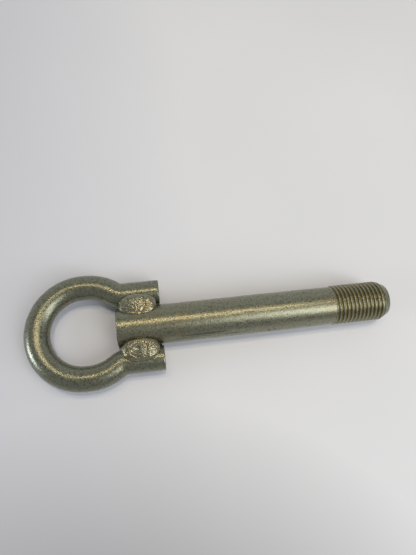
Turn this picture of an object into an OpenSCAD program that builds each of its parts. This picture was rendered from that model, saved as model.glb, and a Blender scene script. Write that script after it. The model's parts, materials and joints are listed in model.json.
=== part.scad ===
// Screw-in towing eye bolt: a round bar with a right-hand metric thread, and an eye
// bent from rod whose two legs are welded along the bar's sides.
// Frame: the origin is the middle of the eye, +X runs along the bar to the threaded
// tip, the eye lies in the XY plane, and +Z is square to the eye.

/* [Bar] */
// Diameter of the plain bar
shank_d = 19.2; // [18:0.1:19.3]
// Distance from the middle of the eye to the bar's plain end
shank_x = 15; // [12:0.5:16]
// Distance from the middle of the eye to the threaded tip
eye_to_tip = 150.4; // [110:0.2:200]
// Bevel on the bar's edge inside the eye
edge_bevel = 0.5; // [0.2:0.1:1]

/* [Thread] */
// Outside diameter over the thread crests
thread_d = 19.8; // [19.6:0.05:20]
// Pitch of the thread
pitch = 2; // [1.5:0.5:2.5]
// Depth of the thread groove
thread_depth = 1.1; // [0.8:0.05:1.3]
// Length of the threaded end, lead cone included
thread_l = 29; // [20:1:40]
// Length of the lead cone at the tip
lead_l = 4.2; // [2:0.1:5]
// Diameter of the flat face at the tip
tip_d = 15.4; // [13:0.1:17]

/* [Eye] */
// Diameter of the rod that the eye is bent from
rod_d = 12; // [11:0.2:12.4]
// Clear width of the eye, across the bar
eye_w = 32; // [32:0.5:33.5]
// Clear length of the eye, along the bar
eye_l = 33.8; // [33:0.1:38]
// Gap between each leg and the bar
leg_gap = 0.7; // [0.4:0.1:0.7]
// Distance from the middle of the eye to the ends of its legs
leg_end = 36.3; // [34:0.1:40]

/* [Welds] */
// Length of each weld bead
weld_l = 17; // [14:0.5:18]
// Width of each weld bead
weld_w = 10.4; // [9.6:0.1:10.6]
// Height of each bead's crown above the middle of the bar
weld_top = 8.6; // [8.2:0.1:9]
// Distance from the middle of the eye to the middle of the beads
weld_x = 25; // [24.5:0.5:26]

/* [Hidden] */
$fn = 96;

thread_x = eye_to_tip - thread_l;
thread_r = thread_d / 2;
tip_r = tip_d / 2;

// Thread surface: four edges per pitch run along the helix, and are [start, is_crest]
turn_steps = 24;
crest_w = pitch / 8;
root_w = pitch / 4;
flank_w = (pitch - crest_w - root_w) / 2;
thread_edges = [
    [0, true],
    [crest_w, true],
    [crest_w + flank_w, false],
    [pitch - flank_w, false]
];
edge_count = len(thread_edges);
thread_turns = ceil(thread_l / pitch) + 2;
line_count = edge_count * thread_turns;
fade_l = 1.5 * pitch;
face_fall = 6 * pitch;

// The threaded end starts inside the bar, and the bar stops inside its first plain ring
bury_l = 0.5;
buried_r = shank_d / 2 - bury_l;
collar_l = 0.8;

function lead_r(x) = tip_r + (eye_to_tip - x) * (thread_r - tip_r) / lead_l;
function groove_r(x) = thread_r - thread_depth * min(1, max(0, x - thread_x - collar_l) / fade_l);
function thread_point(step, line) =
    let (
        edge = thread_edges[line % edge_count],
        turns = floor(line / edge_count) - 1 + step / turn_steps,
        x = thread_x + turns * pitch + edge[0],
        full_r = edge[1] ? thread_r : groove_r(x),
        before = max(0, thread_x - x),
        past = max(0, x - eye_to_tip),
        on_face = max(before, past) > 0,
        face_r = (before > 0 ? buried_r : tip_r) * (1 - (before + past) / face_fall),
        radius = on_face ? face_r : min(full_r, lead_r(x)),
        along = before > 0 ? thread_x - bury_l : min(x, eye_to_tip),
        angle = 360 * step / turn_steps
    )
    [along, radius * cos(angle), radius * sin(angle)];

// The threaded end as one closed surface, because its edges follow the helix
module threaded_end() {
    points = [
        for (step = [0 : turn_steps - 1]) for (line = [0 : line_count - 1])
            thread_point(step, line)
    ];
    last = turn_steps - 1;
    inner = [
        for (step = [0 : last - 1]) for (line = [0 : line_count - 2])
            let (a = step * line_count + line, b = a + line_count)
            each [[a, a + 1, b + 1], [a, b + 1, b]]
    ];
    seam = [
        for (line = [0 : line_count - 2 - edge_count])
            let (a = last * line_count + line, b = line + edge_count)
            each [[a, a + 1, b + 1], [a, b + 1, b]]
    ];
    top = line_count - 1;
    quarter = floor(turn_steps / 4);
    start_cap = concat(
        [for (step = [quarter : last]) step * line_count],
        [for (line = [edge_count : -1 : 1]) line],
        [for (step = [0 : quarter - 1]) step * line_count]
    );
    end_cap = concat(
        [for (step = [quarter : -1 : 0]) step * line_count + top],
        [for (line = [top - edge_count : top - 1]) last * line_count + line],
        [for (step = [last : -1 : quarter + 1]) step * line_count + top]
    );
    polyhedron(points, concat(inner, seam, [start_cap, end_cap]));
}

module shank() {
    color("darkgray") {
        rotate([90, 0, 90]) rotate_extrude() polygon([
            [0, shank_x],
            [shank_d / 2 - edge_bevel, shank_x],
            [shank_d / 2, shank_x + edge_bevel],
            [shank_d / 2, thread_x + collar_l / 2],
            [0, thread_x + collar_l / 2]
        ]);
        threaded_end();
    }
}

// Middle line of the bent rod: an arc around each end of the eye's short straight
// sides, a reverse bend at each neck, then a straight leg beside the bar
rod_r = rod_d / 2;
bend_r = eye_w / 2 + rod_r;
side_l = eye_l - eye_w;
leg_y = shank_d / 2 + leg_gap + rod_r;
neck_cos = 0.6;
neck_sin = 0.8;
neck_angle = acos(neck_cos);
neck_r = (neck_sin * bend_r - leg_y) / (1 - neck_sin);
neck_x = side_l / 2 + (bend_r + neck_r) * neck_cos;

module rod_arc(radius, from_angle, to_angle) {
    rotate([0, 0, from_angle]) rotate_extrude(angle = to_angle - from_angle)
        translate([radius, 0]) circle(rod_r);
}

module rod_straight(from_x, to_x) {
    translate([from_x, 0, 0]) rotate([0, 90, 0]) cylinder(h = to_x - from_x, r = rod_r);
}

module eye_side() {
    translate([0, bend_r, 0]) rod_straight(-side_l / 2, side_l / 2);
    translate([side_l / 2, 0, 0]) rod_arc(bend_r, neck_angle, 90);
    translate([neck_x, leg_y + neck_r, 0]) rod_arc(neck_r, 180 + neck_angle, 270);
    translate([0, leg_y, 0]) rod_straight(neck_x, leg_end);
}

module eye() {
    color("gray") {
        translate([-side_l / 2, 0, 0]) rod_arc(bend_r, 90, 270);
        eye_side();
        mirror([0, 1, 0]) eye_side();
    }
}

// One bead fills the groove between the bar and the +Y leg, on the +Z face. It reaches
// down to weld_root and follows the surfaces of both pieces. Its middle lies weld_shift
// past the leg's inner side, and cut is longer than any bead.
weld_root = 0.8;
weld_shift = 0.9;
weld_y = shank_d / 2 + leg_gap + weld_shift;
cut = 60;
bead_r = weld_w / 2;
bead_run = weld_l - weld_w;

module bead() {
    difference() {
        translate([weld_x - bead_run / 2, weld_y, weld_top - bead_r]) {
            sphere(bead_r);
            rotate([0, 90, 0]) cylinder(h = bead_run, r = bead_r);
            translate([bead_run, 0, 0]) sphere(bead_r);
        }
        translate([0, 0, weld_root - cut]) cube(cut);
        translate([shank_x, 0, 0]) rotate([0, 90, 0]) cylinder(h = cut, r = shank_d / 2);
        eye_side();
    }
}

module weld_front_left() {
    color("darkkhaki") bead();
}

module weld_front_right() {
    color("darkkhaki") mirror([0, 1, 0]) bead();
}

module weld_back_left() {
    color("darkkhaki") mirror([0, 0, 1]) bead();
}

module weld_back_right() {
    color("darkkhaki") mirror([0, 1, 0]) mirror([0, 0, 1]) bead();
}

shank();
eye();
weld_front_left();
weld_front_right();
weld_back_left();
weld_back_right();
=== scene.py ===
"""Towing eye bolt lying on a pale floor: a round bar with a rolled thread, a bent rod eye,
and four arc welds. Lengths are in metres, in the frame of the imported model.
"""

import json
import math

import bpy
from mathutils import Matrix, Vector, noise


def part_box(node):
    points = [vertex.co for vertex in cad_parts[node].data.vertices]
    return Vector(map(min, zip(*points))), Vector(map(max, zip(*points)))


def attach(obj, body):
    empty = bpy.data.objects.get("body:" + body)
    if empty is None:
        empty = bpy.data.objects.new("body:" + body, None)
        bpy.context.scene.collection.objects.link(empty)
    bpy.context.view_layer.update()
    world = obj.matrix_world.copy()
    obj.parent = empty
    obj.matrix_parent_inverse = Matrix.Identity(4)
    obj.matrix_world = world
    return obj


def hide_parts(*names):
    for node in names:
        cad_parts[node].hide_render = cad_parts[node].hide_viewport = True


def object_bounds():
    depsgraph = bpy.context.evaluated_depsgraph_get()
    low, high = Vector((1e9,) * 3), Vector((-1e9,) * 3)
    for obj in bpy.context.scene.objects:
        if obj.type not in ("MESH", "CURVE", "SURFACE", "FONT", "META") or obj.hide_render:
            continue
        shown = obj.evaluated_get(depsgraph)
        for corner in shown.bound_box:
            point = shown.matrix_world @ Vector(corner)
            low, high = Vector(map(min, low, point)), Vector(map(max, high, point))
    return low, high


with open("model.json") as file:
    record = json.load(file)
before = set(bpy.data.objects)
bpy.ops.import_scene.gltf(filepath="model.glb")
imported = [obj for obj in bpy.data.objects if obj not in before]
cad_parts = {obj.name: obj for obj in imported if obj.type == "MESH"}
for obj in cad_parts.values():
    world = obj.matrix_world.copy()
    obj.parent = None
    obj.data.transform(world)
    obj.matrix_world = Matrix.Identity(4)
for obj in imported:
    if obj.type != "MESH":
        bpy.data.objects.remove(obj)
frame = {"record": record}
cad_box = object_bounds()

MM = 0.001
MOUNTS = {mount["name"]: mount for mount in frame["record"]["mounts"]}

# ---- sizes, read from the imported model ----
shank_lo, shank_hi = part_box("shank")
eye_lo, eye_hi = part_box("eye")
FLOOR_Z = cad_box[0].z
BAR_START = shank_lo.x
TIP_X = shank_hi.x
THREAD_R = MOUNTS["thread"]["dims"]["r_mm"] * MM
THREAD_L = MOUNTS["thread"]["dims"]["length_mm"] * MM
THREAD_X = TIP_X - THREAD_L
ROD_R = eye_hi.z
BEND_R = eye_hi.y - ROD_R
SIDE_HALF = -eye_lo.x - BEND_R - ROD_R
LEG_END = eye_hi.x

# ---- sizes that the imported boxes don't give, as in the part's source ----
BAR_R = 9.6 * MM
LEG_Y = 16.3 * MM
NECK_COS = 0.6
NECK_SIN = 0.8
NECK_R = (NECK_SIN * BEND_R - LEG_Y) / (1 - NECK_SIN)
NECK_X = SIDE_HALF + (BEND_R + NECK_R) * NECK_COS


# ---- helpers ----
def mesh_piece(name, points, faces):
    """A smooth-shaded mesh object of these points and faces."""
    mesh = bpy.data.meshes.new(name)
    mesh.from_pydata(points, [], faces)
    mesh.update()
    mesh.polygons.foreach_set("use_smooth", [True] * len(mesh.polygons))
    piece = bpy.data.objects.new(name, mesh)
    bpy.context.scene.collection.objects.link(piece)
    return piece


def turns(sides):
    """The angles of a ring's points, in radians."""
    return [math.tau * j / sides for j in range(sides)]


def ring_faces(start, rings, sides):
    """Quads that join rings of points, from the point numbered start on."""
    faces = []
    for i in range(rings - 1):
        inner = start + i * sides
        outer = inner + sides
        for j in range(sides):
            k = (j + 1) % sides
            faces.append((inner + j, inner + k, outer + k, outer + j))
    return faces


def tube_faces(points, sides):
    """Faces of a closed tube: quads between its rings of points, and a cap on each end."""
    count = len(points)
    start_cap = tuple(range(sides))[::-1]
    end_cap = tuple(range(count - sides, count))
    return ring_faces(0, count // sides, sides) + [start_cap, end_cap]


def wave(x, y, z, scale, seed):
    """Smooth noise, about -1 to 1, with features about scale metres wide."""
    return noise.noise(Vector((x / scale + seed * 7.3, y / scale - seed * 3.1, z / scale + seed)))


def bump(value, middle, width):
    """1 in the middle, falling smoothly to nearly 0 at twice the width to either side."""
    return math.exp(-(((value - middle) / width) ** 2))


def smooth_step(low, high, value):
    """0 below low, 1 above high, and a smooth rise between them."""
    t = min(1.0, max(0.0, (value - low) / (high - low)))
    return t * t * (3 - 2 * t)


def smooth_min(a, b, blend):
    """The lesser of a and b, rounded off where they are within blend of each other."""
    over = a - b
    if over <= -blend:
        return a
    if over > blend:
        return b
    return a - (over + blend) ** 2 / (4 * blend)


# ---- the bar ----
BAR_SIDES = 180
BAR_STEP = 0.55 * MM
THREAD_STEP = 0.12 * MM
BEVEL = 0.3 * MM
BEVEL_STEPS = 8
# The bar narrows slightly before the thread, from NECKING_L to NECKED_L short of it
NECKING_L = 12 * MM
NECKED_L = 1.5 * MM
NECKING = 0.16 * MM

PITCH = 2.0 * MM
THREAD_DEPTH = 1.05 * MM
LEAD_L = 4.3 * MM
TIP_R = 7.7 * MM
RISE_X = THREAD_X + 0.7 * MM
RISE_L = 0.35 * MM
FADE_L = 0.6 * MM
LEAD_BLEND = 0.1 * MM
# Where a flank meets the crest and the root, 0 in the root's middle and 1 on the crest's
CREST_EDGE = 0.86
ROOT_EDGE = 0.22

# Small knocks as (x, degrees about the bar from +Y towards +Z, depth, width)
KNOCKS = [
    (67.5 * MM, 92, 0.3 * MM, 0.45 * MM),
    (88.2 * MM, 168, 0.6 * MM, 0.8 * MM),
    (90.5 * MM, 161, 0.4 * MM, 0.6 * MM),
    (41.0 * MM, 60, 0.2 * MM, 0.4 * MM),
    (104.0 * MM, 250, 0.25 * MM, 0.8 * MM),
    (57.0 * MM, 300, 0.25 * MM, 0.7 * MM),
]

# An end face's rings, as shares of its radius from the middle outwards, then its hollow,
# its unevenness, and that unevenness's scale, slice of noise and seed
START_FACE = ((0.0, 0.35, 0.7, 0.93), 0.25 * MM, 0.06 * MM, (3 * MM, 0, 4))
TIP_FACE = ((0.002, 0.2, 0.5, 0.8, 0.97), 0.35 * MM, 0.05 * MM, (2.5 * MM, 1, 5))
# No ring is smaller than this share, so that the cap inside it has an area
SMALLEST_RING = 0.002


def knock_depth(x, angle):
    """How deep the knocks press the bar in at x, at this angle about the bar."""
    pressed = 0.0
    for knock_x, degrees, depth, width in KNOCKS:
        if abs(x - knock_x) < 3 * width:
            around = (angle - math.radians(degrees) + math.pi) % math.tau - math.pi
            far = ((x - knock_x) ** 2 + (around * BAR_R) ** 2) / width**2
            pressed += depth * math.exp(-far)
    return pressed


def plain_radius(x, angle):
    """Radius of the plain bar at x: a little uneven, knocked, bevelled at its start, and
    narrower just before the thread."""
    y, z = math.cos(angle) * BAR_R, math.sin(angle) * BAR_R
    radius = BAR_R - 0.03 * MM
    radius += 0.035 * MM * wave(x, y, z, 9 * MM, 1)
    radius += 0.018 * MM * wave(x * 0.6, y, z, 1.6 * MM, 2)
    radius -= NECKING * smooth_step(THREAD_X - NECKING_L, THREAD_X - NECKED_L, x)
    radius -= knock_depth(x, angle)
    from_start = x - BAR_START
    if from_start < BEVEL:
        radius -= BEVEL * (1 - math.sqrt(max(0.0, 1 - (1 - from_start / BEVEL) ** 2)))
    return radius


def thread_drop(phase):
    """Depth of the groove, 0 to 1, over one pitch: a round crest, two flanks, a round root."""
    from_root = abs(phase - 0.5) * 2
    flank = (CREST_EDGE - from_root) / (CREST_EDGE - ROOT_EDGE)
    t = min(1.0, max(0.0, flank))
    return 0.75 * t + 0.25 * smooth_step(0, 1, t)


def bar_radius(x, angle):
    """Radius of the bar's outside at x, at this angle about the bar, with its thread."""
    radius = plain_radius(x, angle)
    if x <= RISE_X:
        return radius
    y, z = math.cos(angle) * BAR_R, math.sin(angle) * BAR_R
    crest = THREAD_R - 0.02 * MM + 0.02 * MM * wave(x, y, z, 1.2 * MM, 3)
    phase = ((x - THREAD_X) / PITCH - angle / math.tau) % 1.0
    cut = smooth_step(RISE_X, RISE_X + FADE_L, x)
    threaded = crest - THREAD_DEPTH * cut * thread_drop(phase)
    radius += (threaded - radius) * smooth_step(RISE_X, RISE_X + RISE_L, x)
    lead = TIP_R + (TIP_X - x) * (THREAD_R - TIP_R) / LEAD_L
    return smooth_min(radius, lead, LEAD_BLEND)


def bar_stations():
    """Where the bar's rings lie: close together at its start and on the thread."""
    bevel_turns = [math.pi / 2 * i / BEVEL_STEPS for i in range(BEVEL_STEPS + 1)]
    stations = [BAR_START + BEVEL * (1 - math.cos(turn)) for turn in bevel_turns]
    while stations[-1] < THREAD_X - 6 * MM:
        stations.append(stations[-1] + BAR_STEP)
    while stations[-1] < TIP_X - THREAD_STEP:
        stations.append(stations[-1] + THREAD_STEP)
    stations[-1] = TIP_X
    return stations


def face_rings(x, inward, rim_r, face):
    """The rings of an end face at x, from the middle outwards. inward is its direction
    along X into the bar, and no point lies outside the face's plane."""
    shares, hollow, unevenness, (scale, slice_x, seed) = face
    rings = []
    for share in shares:
        radius = rim_r * max(share, SMALLEST_RING)
        ring = []
        for angle in turns(BAR_SIDES):
            y, z = math.cos(angle) * radius, math.sin(angle) * radius
            dish = hollow * (1 - share) + unevenness * wave(slice_x, y, z, scale, seed)
            ring.append((x + inward * max(0.0, dish), y, z))
        rings.append(ring)
    return rings


def bar_ring(x):
    """The ring of points round the bar's outside at x."""
    ring = []
    for angle in turns(BAR_SIDES):
        radius = bar_radius(x, angle)
        ring.append((x, math.cos(angle) * radius, math.sin(angle) * radius))
    return ring


def build_bar():
    """The round bar from the middle of its plain end to the middle of its tip."""
    start_rings = face_rings(BAR_START, 1, bar_radius(BAR_START, 0), START_FACE)
    side_rings = [bar_ring(x) for x in bar_stations()]
    tip_rings = face_rings(TIP_X, -1, TIP_R, TIP_FACE)[::-1]
    points = sum(start_rings + side_rings + tip_rings, [])
    return mesh_piece("bar", points, [face[::-1] for face in tube_faces(points, BAR_SIDES)])


# ---- the bent rod eye ----
ROD_SIDES = 96
LEG_STEPS = 26
NECK_STEPS = 30
SHOULDER_STEPS = 40
HEAD_STEPS = 120
# A leg's sheared end, as rings of (share of the rod's radius, distance from the end)
LEG_FACE = [
    (0.002, 0.15 * MM),
    (0.4, 0.1 * MM),
    (0.8, 0.03 * MM),
    (0.94, 0.0),
    (0.975, 0.08 * MM),
    (1.0, 0.35 * MM),
]


def arc(centre, radius, start, end, shares, quarter_turn):
    """Points of an arc as (x, y, direction). quarter_turn is +90 degrees, in radians, for an
    arc that runs anticlockwise and -90 degrees for one that runs clockwise."""
    points = []
    for share in shares:
        angle = start + (end - start) * share
        x = centre[0] + radius * math.cos(angle)
        y = centre[1] + radius * math.sin(angle)
        points.append((x, y, angle + quarter_turn))
    return points


def shares_of(steps):
    """The steps from just after 0 to 1."""
    return [i / steps for i in range(1, steps + 1)]


def rod_line():
    """Middle line of the rod as (x, y, direction), from the end of one leg to the other."""
    quarter = math.pi / 2
    neck_turn = math.acos(NECK_COS)
    neck_centre = (NECK_X, LEG_Y + NECK_R)
    leg = [(LEG_END + (NECK_X - LEG_END) * i / LEG_STEPS, LEG_Y, math.pi) for i in range(LEG_STEPS + 1)]
    neck = arc(neck_centre, NECK_R, 3 * quarter, math.pi + neck_turn, shares_of(NECK_STEPS), -quarter)
    shoulder = arc((SIDE_HALF, 0), BEND_R, neck_turn, quarter, shares_of(SHOULDER_STEPS), quarter)
    head_shares = [i / HEAD_STEPS for i in range(HEAD_STEPS)]
    head = arc((-SIDE_HALF, 0), BEND_R, quarter, math.pi, head_shares, quarter)
    half = leg + neck + shoulder + head
    middle = [(-SIDE_HALF - BEND_R, 0.0, 3 * quarter)]
    return half + middle + [(x, -y, 3 * math.pi - turn) for x, y, turn in half[::-1]]


def rod_radius(x, y, z):
    """The rod's radius near this point, a little uneven."""
    radius = ROD_R - 0.03 * MM
    radius += 0.03 * MM * wave(x, y, z, 7 * MM, 11)
    radius += 0.012 * MM * wave(x, y, z, 1.5 * MM, 12)
    return radius


def rod_ring(x, y, turn, share=1.0, ahead=0.0):
    """The ring of points round the rod where it passes x, y in the direction turn. share
    makes the ring smaller, and ahead moves it along the rod."""
    ahead_x, ahead_y = math.cos(turn), math.sin(turn)
    side_x, side_y = -ahead_y, ahead_x
    ring = []
    for angle in turns(ROD_SIDES):
        across, up = math.cos(angle), math.sin(angle)
        surface = (x + side_x * across * ROD_R, y + side_y * across * ROD_R, up * ROD_R)
        radius = rod_radius(*surface) * share
        ring.append(
            (
                x + side_x * across * radius + ahead_x * ahead,
                y + side_y * across * radius + ahead_y * ahead,
                up * radius,
            )
        )
    return ring


def build_eye():
    """The bent rod, from the face of one leg's end to the face of the other's."""
    line = rod_line()
    start_rings = [rod_ring(*line[0], share, inward) for share, inward in LEG_FACE]
    middle_rings = [rod_ring(*station) for station in line[1:-1]]
    end_rings = [rod_ring(*line[-1], share, -inward) for share, inward in LEG_FACE[::-1]]
    points = sum(start_rings + middle_rings + end_rings, [])
    return mesh_piece("eye_rod", points, tube_faces(points, ROD_SIDES))


# ---- the welds ----
WELD_RINGS = 64
WELD_SIDES = 160
# A puddle reaches this far past its CAD bead on each side, before it is shifted, and its
# underside comes to a point at this height above the middle of the bar
WELD_SPREAD = 0.9 * MM
WELD_CLOSE_Z = 1.5 * MM
# The fill's flat starts at this share of the bar's radius
FILL_START = 0.62
# The rim lies at share 1 of the puddle, and the skirt dives into the metal from there on
SKIRT_END = 1.06
SKIRT_SLOPE = 12 * MM
# The outline is between an ellipse (2) and a rectangle, and the dome is flat with a steep rim
OUTLINE_POWER = 2.4
OUTLINE_WOBBLE = 0.035
DOME_FLATNESS = 3.4
DOME_STEEPNESS = 0.52
RIPPLE = 0.09 * MM


def groove_top(x, y):
    """Height of the metal under a weld: the bar, the leg, and the groove's fill between them."""
    bar_top = math.sqrt(max(0.0, BAR_R**2 - y**2))
    leg_top = math.sqrt(max(0.0, ROD_R**2 - (y - LEG_Y) ** 2))
    top = max(bar_top, leg_top)
    fill_y = FILL_START * BAR_R
    if fill_y < y < LEG_Y:
        fill_z = math.sqrt(BAR_R**2 - fill_y**2)
        top = max(top, fill_z + (ROD_R - fill_z) * (y - fill_y) / (LEG_Y - fill_y))
    return top


def two_lobes(u, v, x, y):
    """A large crackled lobe, a groove across it, then a smaller lobe towards the thread."""
    groove_u = 0.45 + 0.14 * v - 0.2 * v * v
    lift = -0.35 * MM * bump(u, groove_u, 0.08)
    lift += 0.5 * MM * bump(u, -0.15, 0.38) * bump(v, 0.1, 0.45)
    crackled = bump(u, -0.2, 0.42) * bump(v, 0.15, 0.4)
    lift += 0.16 * MM * crackled * wave(x, y, 0.0, 0.55 * MM, 31)
    return lift


def swirl(u, v, x, y):
    """A crater in the middle with a ridge and a furrow round it, and a low lobe beside it."""
    from_u, from_v = u + 0.1, v * 0.7 - 0.02
    r = math.hypot(from_u, from_v) + 0.05 * noise.noise(Vector((3 * u, 3 * v, 5)))
    turn = math.atan2(from_v, from_u)
    lift = -0.75 * MM * bump(r, 0, 0.16)
    lift += 0.5 * MM * bump(r, 0.28, 0.075)
    lift -= 0.22 * MM * bump(r, 0.43, 0.06) * (0.6 + 0.4 * math.cos(turn - 2.5))
    lift += 0.25 * MM * bump(u, 0.55, 0.16) * bump(v, -0.1, 0.5)
    lift += 0.13 * MM * wave(x, y, 0.0, 0.5 * MM, 32)
    return lift


# Each puddle's side (+1 for the +Y leg), face (+1 for the +Z face), height, extra height
# towards the leg, seed, mark, and its shift from the middle of its CAD bead along X and outwards
WELDS = {
    "front_left": (1, 1, 2.1 * MM, 1.0 * MM, 21, two_lobes, (0.5 * MM, -1.8 * MM)),
    "front_right": (-1, 1, 2.2 * MM, 0.3 * MM, 22, swirl, (0.4 * MM, 0.8 * MM)),
    "back_left": (1, -1, 2.0 * MM, 0.3 * MM, 23, swirl, (1.8 * MM, 0.2 * MM)),
    "back_right": (-1, -1, 2.0 * MM, 0.8 * MM, 24, two_lobes, (1.8 * MM, 0)),
}


def outline_reach(angle, seed):
    """Distance of a puddle's rim from its middle at this angle, in half-widths."""
    wobble = 1 + OUTLINE_WOBBLE * noise.noise(Vector((2 * math.cos(angle), 2 * math.sin(angle), seed)))
    corner = abs(math.cos(angle)) ** OUTLINE_POWER + abs(math.sin(angle)) ** OUTLINE_POWER
    return wobble * corner ** (-1 / OUTLINE_POWER)


def weld_faces(bottom, flip):
    """Faces of a closed puddle: a fan round its first point, quads between its rings, and a
    fan round its last point, bottom."""
    faces = ring_faces(1, WELD_RINGS, WELD_SIDES)
    last_ring = bottom - WELD_SIDES
    for j in range(WELD_SIDES):
        k = (j + 1) % WELD_SIDES
        faces.append((0, 1 + k, 1 + j))
        faces.append((last_ring + j, last_ring + k, bottom))
    return [face[::-1] for face in faces] if flip else faces


def build_weld(place, side, face, height, lean, seed, mark, shift):
    """The puddle at this place, a crowned dome over the groove between the bar and a leg."""
    lo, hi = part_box(f"weld_{place}")
    inner_y = min(abs(lo.y), abs(hi.y))
    outer_y = max(abs(lo.y), abs(hi.y))
    middle_x = (lo.x + hi.x) / 2 + shift[0]
    middle_y = (inner_y + outer_y) / 2 + shift[1]
    half_x = (hi.x - lo.x) / 2
    half_y = (outer_y - inner_y) / 2 + WELD_SPREAD

    def point(share, angle):
        reach = share * outline_reach(angle, seed)
        u, v = reach * math.cos(angle), reach * math.sin(angle)
        x, y = middle_x + half_x * u, middle_y + half_y * v
        dome = max(0.0, 1 - share**DOME_FLATNESS) ** DOME_STEEPNESS
        within = min(1.0, 3 * dome)
        lift = (height + lean * v) * dome + mark(u, v, x, y) * within
        if share > 1:
            lift = -(share - 1) * SKIRT_SLOPE
        lift += RIPPLE * wave(x, y, face, 1.3 * MM, seed) * within
        lift += RIPPLE * wave(x, y, face, 0.65 * MM, seed + 1) * within
        return (x, side * y, face * (groove_top(x, y) + lift))

    points = [point(0, 0)]
    for i in range(1, WELD_RINGS + 1):
        points += [point(SKIRT_END * i / WELD_RINGS, angle) for angle in turns(WELD_SIDES)]
    bottom = len(points)
    points.append((middle_x, side * middle_y, face * WELD_CLOSE_Z))
    return mesh_piece(f"puddle_{place}", points, weld_faces(bottom, side * face > 0))


# ---- node helpers ----
def new_material(name):
    material = bpy.data.materials.new(name)
    material.use_nodes = True
    return material, material.node_tree, shader_of(material)


def shader_of(material):
    return material.node_tree.nodes["Principled BSDF"]


def feed(tree, socket, value):
    """Gives a node's input a number or a colour, or links another node's output to it."""
    if isinstance(value, bpy.types.NodeSocket):
        tree.links.new(value, socket)
    elif isinstance(value, tuple):
        socket.default_value = (*value, 1)
    else:
        socket.default_value = value


def object_place(tree):
    """The place on the object, in metres."""
    return tree.nodes.new("ShaderNodeTexCoord").outputs["Object"]


def stretched(tree, vector, along_x):
    """The vector with its X scaled, so that a texture on it runs along the bar."""
    node = tree.nodes.new("ShaderNodeMapping")
    node.inputs["Scale"].default_value = (along_x, 1.0, 1.0)
    tree.links.new(vector, node.inputs["Vector"])
    return node.outputs["Vector"]


def split(tree, vector):
    """The vector's x, y and z."""
    node = tree.nodes.new("ShaderNodeSeparateXYZ")
    tree.links.new(vector, node.inputs["Vector"])
    return node.outputs


def add_noise(tree, vector, scale, detail, roughness=0.5):
    node = tree.nodes.new("ShaderNodeTexNoise")
    node.inputs["Scale"].default_value = scale
    node.inputs["Detail"].default_value = detail
    node.inputs["Roughness"].default_value = roughness
    tree.links.new(vector, node.inputs["Vector"])
    return node.outputs["Fac"]


def cell_distance(tree, vector, scale):
    """Distance to the nearest of scattered points, in shares of their spacing."""
    node = tree.nodes.new("ShaderNodeTexVoronoi")
    node.inputs["Scale"].default_value = scale
    tree.links.new(vector, node.inputs["Vector"])
    return node.outputs["Distance"]


def distance_to(tree, vector, place):
    node = tree.nodes.new("ShaderNodeVectorMath")
    node.operation = "DISTANCE"
    tree.links.new(vector, node.inputs[0])
    node.inputs[1].default_value = place
    return node.outputs["Value"]


def add_ramp(tree, source, stops):
    """A colour ramp over (position, colour) stops."""
    node = tree.nodes.new("ShaderNodeValToRGB")
    ramp = node.color_ramp
    while len(ramp.elements) < len(stops):
        ramp.elements.new(0.5)
    for element, (position, colour) in zip(ramp.elements, stops):
        element.position = position
        element.color = (*colour, 1)
    tree.links.new(source, node.inputs["Fac"])
    return node.outputs["Color"]


def mix_colour(tree, factor, a, b, blend="MIX"):
    """Colour a where factor is 0 and b where it is 1."""
    node = tree.nodes.new("ShaderNodeMix")
    node.data_type = "RGBA"
    node.blend_type = blend
    feed(tree, node.inputs["Factor"], factor)
    feed(tree, node.inputs[6], a)
    feed(tree, node.inputs[7], b)
    return node.outputs[2]


def map_range(tree, source, from_low, from_high, to_low, to_high):
    """to_low where source is from_low, to_high where it is from_high, held beyond them."""
    node = tree.nodes.new("ShaderNodeMapRange")
    node.inputs["From Min"].default_value = from_low
    node.inputs["From Max"].default_value = from_high
    node.inputs["To Min"].default_value = to_low
    node.inputs["To Max"].default_value = to_high
    tree.links.new(source, node.inputs["Value"])
    return node.outputs["Result"]


def maths(tree, operation, a, b=0.0):
    node = tree.nodes.new("ShaderNodeMath")
    node.operation = operation
    feed(tree, node.inputs[0], a)
    feed(tree, node.inputs[1], b)
    return node.outputs[0]


def product(tree, first, *others):
    """All the factors multiplied together."""
    result = first
    for factor in others:
        result = maths(tree, "MULTIPLY", result, factor)
    return result


def darker(colour, share):
    return tuple(channel * share for channel in colour)


# ---- materials ----
# Texture scales, in features per metre
GRAIN_SCALE = 1150
SPECK_SCALE = 2300
STAIN_SCALE = 70
PIT_SCALE = 150
SCRATCH_SCALE = 600
SCRAPE_SCALE = 900
PLATING_METALLIC = 0.85
PLATING_RELIEF = 0.06 * MM
SMOOTH_GLOSS = (0.24, 0.36)
WELD_GLOSS = (0.20, 0.34)
FLOOR_ROUGHNESS = 0.7

# Dirt gathers below DIRT_R in the thread, down to ROOT_R, and wear shows above it, up to
# WORN_R
DIRT_R = 9.6 * MM
ROOT_R = 8.9 * MM
WORN_R = 9.85 * MM


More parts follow.
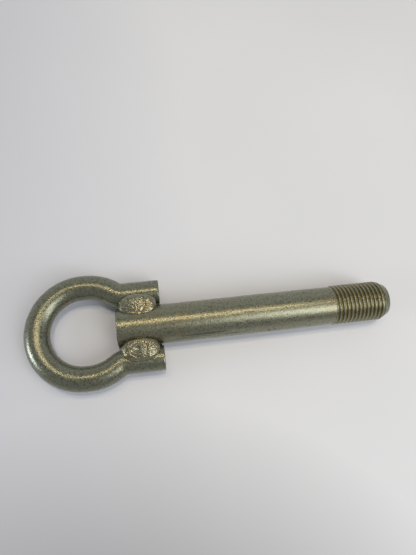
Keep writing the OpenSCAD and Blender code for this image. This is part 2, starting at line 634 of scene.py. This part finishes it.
def zinc(name, body, dark, ochre, stained, scratched, gloss=SMOOTH_GLOSS):
    """Dull zinc plating: fine grain, dark specks, sparse pits and lengthwise scratches.
    Returns the material and the output that colours it."""
    material, tree, shader = new_material(name)
    place = object_place(tree)

    grain = add_noise(tree, place, GRAIN_SCALE, 4, 0.6)
    colour = add_ramp(tree, grain, [(0.32, dark), (0.5, body), (0.70, darker(body, 1.25))])
    stain = map_range(tree, add_noise(tree, place, STAIN_SCALE, 3), 0.46, 0.75, 0.0, stained)
    colour = mix_colour(tree, stain, colour, ochre)
    fine = add_noise(tree, place, SPECK_SCALE, 2, 0.6)
    specks = map_range(tree, fine, 0.35, 0.27, 0.0, 0.45)
    colour = mix_colour(tree, specks, colour, darker(dark, 0.3))
    pits = map_range(tree, cell_distance(tree, place, PIT_SCALE), 0.07, 0.04, 0.0, 0.85)
    colour = mix_colour(tree, pits, colour, darker(dark, 0.2))
    streak = add_noise(tree, stretched(tree, place, 0.12), SCRATCH_SCALE, 3, 0.6)
    scratches = map_range(tree, streak, 0.66, 0.74, 0.0, scratched)
    colour = mix_colour(tree, scratches, colour, darker(dark, 0.35))
    tree.links.new(colour, shader.inputs["Base Color"])

    shader.inputs["Metallic"].default_value = PLATING_METALLIC
    tree.links.new(map_range(tree, grain, 0.3, 0.7, *gloss), shader.inputs["Roughness"])

    raised = maths(tree, "ADD", grain, product(tree, fine, 0.3))
    sunk = maths(tree, "ADD", product(tree, scratches, 0.5), pits)
    relief = tree.nodes.new("ShaderNodeBump")
    relief.inputs["Strength"].default_value = 1.0
    relief.inputs["Distance"].default_value = PLATING_RELIEF
    tree.links.new(maths(tree, "SUBTRACT", raised, sunk), relief.inputs["Height"])
    tree.links.new(relief.outputs["Normal"], shader.inputs["Normal"])
    return material, colour


def side_patch(tree, xyz, from_x, to_x, fade, low_z):
    """1 on a patch of the bar's -Y side, from low_z to 3 mm above it, fading out along x."""
    x, y, z = xyz
    near_side = map_range(tree, y, -7.0 * MM, -7.6 * MM, 0.0, 1.0)
    above = map_range(tree, z, low_z - 0.4 * MM, low_z + 0.4 * MM, 0.0, 1.0)
    below = map_range(tree, z, low_z + 3.4 * MM, low_z + 2.6 * MM, 0.0, 1.0)
    start = map_range(tree, x, from_x, from_x + fade, 0.0, 1.0)
    stop = map_range(tree, x, to_x, to_x - fade, 0.0, 1.0)
    return product(tree, near_side, above, below, start, stop)


def thread_wear(tree, xyz, colour):
    """Adds ochre dirt to the thread's grooves, fading out on the lead cone, and wear to its
    crests."""
    x, y, z = xyz
    squares = maths(tree, "ADD", product(tree, y, y), product(tree, z, z))
    radius = maths(tree, "SQRT", squares)
    on_thread = map_range(tree, x, RISE_X, RISE_X + 0.2 * MM, 0.0, 1.0)
    before_cone = map_range(tree, x, TIP_X - 2 * MM, TIP_X - LEAD_L, 0.0, 1.0)
    deep = map_range(tree, radius, DIRT_R, ROOT_R, 0.0, 0.8)
    colour = mix_colour(tree, product(tree, deep, on_thread, before_cone), colour, (0.20, 0.16, 0.065))
    high = map_range(tree, radius, DIRT_R, WORN_R, 0.0, 0.5)
    return mix_colour(tree, product(tree, on_thread, high), colour, (0.36, 0.32, 0.19))


def bar_zinc():
    """The bar's plating, with a worn thread, and a scraped band and a knock on the -Y side."""
    body, dark, ochre = (0.23, 0.23, 0.168), (0.14, 0.145, 0.104), (0.235, 0.20, 0.115)
    material, colour = zinc("zinc_bar", body, dark, ochre, stained=0.4, scratched=0.7)
    tree = material.node_tree
    place = object_place(tree)
    xyz = split(tree, place)
    colour = thread_wear(tree, xyz, colour)

    band = side_patch(tree, xyz, 30 * MM, 78 * MM, 8 * MM, 3.0 * MM)
    knock = side_patch(tree, xyz, 85 * MM, 95 * MM, 2 * MM, 0.6 * MM)
    streak = add_noise(tree, stretched(tree, place, 0.05), SCRAPE_SCALE, 2)
    scrape = map_range(tree, streak, 0.47, 0.56, 0.0, 0.7)
    scraped = product(tree, maths(tree, "MAXIMUM", band, knock), scrape)
    colour = mix_colour(tree, scraped, colour, (0.055, 0.055, 0.045))
    tree.links.new(colour, shader_of(material).inputs["Base Color"])
    return material


def rod_zinc():
    """The eye's plating, a little darker and less scratched than the bar's."""
    body, dark, ochre = (0.21, 0.215, 0.162), (0.125, 0.13, 0.096), (0.215, 0.185, 0.11)
    return zinc("zinc_rod", body, dark, ochre, stained=0.3, scratched=0.3)[0]


def weld_zinc():
    """The welds' plating, brighter, glossier and more stained, without scratches."""
    body, dark, ochre = (0.27, 0.265, 0.19), (0.10, 0.10, 0.075), (0.27, 0.22, 0.12)
    return zinc("zinc_weld", body, dark, ochre, stained=0.7, scratched=0.0, gloss=WELD_GLOSS)[0]


def floor_material():
    """Pale matt board: a little uneven, with painted shade that makes it darker and bluer to the left,
    and a soft painted shadow near the photographer."""
    material, tree, shader = new_material("pale_floor")
    place = object_place(tree)
    broad = add_noise(tree, place, 6, 2)
    colour = add_ramp(tree, broad, [(0.35, (0.63, 0.64, 0.69)), (0.65, (0.66, 0.67, 0.715))])
    # Painted shade: the floor's colour turns darker and bluer towards -X
    left = map_range(tree, split(tree, place)["X"], 0.06, -0.06, 0.0, 1.0)
    colour = mix_colour(tree, left, colour, (0.53, 0.54, 0.61))
    # Painted shadow: the floor darkens in a soft oval around (0, -0.22), as if the photographer's
    # shadow fell there
    from_painted_shadow = distance_to(tree, place, (0.0, -0.22, FLOOR_Z))
    shade = map_range(tree, from_painted_shadow, 0.189, 0.106, 0.0, 0.62)
    colour = mix_colour(tree, shade, colour, (0.18, 0.18, 0.20))
    tree.links.new(colour, shader.inputs["Base Color"])
    shader.inputs["Roughness"].default_value = FLOOR_ROUGHNESS
    return material


# ---- assembly ----
def add_piece(piece, node, material):
    """Puts a finished piece in the place of its CAD node."""
    piece.data.materials.append(material)
    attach(piece, "root")
    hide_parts(node)


add_piece(build_bar(), "shank", bar_zinc())
add_piece(build_eye(), "eye", rod_zinc())
weld_plating = weld_zinc()
for weld_place, weld_shape in WELDS.items():
    add_piece(build_weld(weld_place, *weld_shape), f"weld_{weld_place}", weld_plating)

# ---- floor ----
FLOOR_HALF = 0.9
corners = [(x * FLOOR_HALF, y * FLOOR_HALF, FLOOR_Z) for x, y in ((-1, -1), (1, -1), (1, 1), (-1, 1))]
floor = mesh_piece("floor", corners, [(0, 1, 2, 3)])
floor.data.materials.append(floor_material())


# ---- lights ----
def area_light(name, at, target, size, power, colour):
    """A rectangular lamp at a place, facing its target. Size is in metres, power in watts."""
    light = bpy.data.lights.new(name, "AREA")
    light.shape = "RECTANGLE"
    light.size, light.size_y = size
    light.energy = power
    light.color = colour
    lamp = bpy.data.objects.new(name, light)
    lamp.location = at
    lamp.rotation_mode = "QUATERNION"
    lamp.rotation_quaternion = (Vector(target) - Vector(at)).to_track_quat("-Z", "Y")
    bpy.context.scene.collection.objects.link(lamp)
    return lamp


def build_room():
    """Plain surroundings: pale near the horizon, dimmer overhead and where the -Y side is."""
    world = bpy.data.worlds.new("room")
    world.use_nodes = True
    tree = world.node_tree
    x, y, z = split(tree, tree.nodes.new("ShaderNodeTexCoord").outputs["Generated"])
    far_side = product(tree, maths(tree, "MAXIMUM", y, 0.0), 0.45)
    overhead = map_range(tree, maths(tree, "SUBTRACT", z, far_side), 0.10, 0.75, 0.0, 1.0)
    horizon = map_range(tree, y, -0.8, 0.8, 0.32, 0.62)
    level = mix_colour(tree, overhead, horizon, (0.24, 0.24, 0.24))
    tinted = mix_colour(tree, 1.0, level, (0.93, 0.97, 1.0), "MULTIPLY")
    tree.links.new(tinted, tree.nodes["Background"].inputs["Color"])
    bpy.context.scene.world = world


area_light("strip_lamp", (0.145, 0.24, 1.1), (0.125, 0, 0), (0.83, 0.07), 3.1, (1.0, 0.83, 0.55))
# The ceiling lamp makes no highlights
ceiling = area_light("ceiling", (0.10, 0.10, 1.2), (0.09, 0, 0), (0.10, 0.10), 3.1, (1.0, 0.95, 0.86))
ceiling.visible_glossy = False
area_light("window", (0.60, -0.55, 1.0), (0.1, 0, 0), (0.50, 0.75), 5.2, (0.98, 0.98, 0.93))
area_light("low_window", (0.85, -0.50, 0.48), (0, 0, 0), (0.3, 0.3), 1.8, (0.90, 0.95, 1.0))
area_light("far_window", (-1.0, -0.12, 0.22), (0, 0, 0), (0.3, 0.2), 3.5, (0.80, 0.90, 1.0))
build_room()

# ---- camera, at the photo's angle ----
CAMERA_AT = Vector((0.03766, -0.0384, 0.2104))
CAMERA_RIGHT = Vector((0.98909, -0.12510, 0.07780))
CAMERA_FORWARD = Vector((0.10946, 0.27066, -0.95643))
CAMERA_UP = CAMERA_RIGHT.cross(CAMERA_FORWARD)
LENS_MM = 28.02
SENSOR_MM = 36
camera = bpy.data.objects.new("camera", bpy.data.cameras.new("camera"))
camera.data.lens = LENS_MM
camera.data.sensor_width = SENSOR_MM
camera.data.clip_start = 10 * MM
bpy.context.scene.collection.objects.link(camera)
bpy.context.scene.camera = camera
camera_axes = Matrix((CAMERA_RIGHT, CAMERA_UP, -CAMERA_FORWARD)).transposed()
camera.matrix_world = Matrix.Translation(CAMERA_AT) @ camera_axes.to_4x4()

bpy.context.scene.view_settings.view_transform = "Standard"
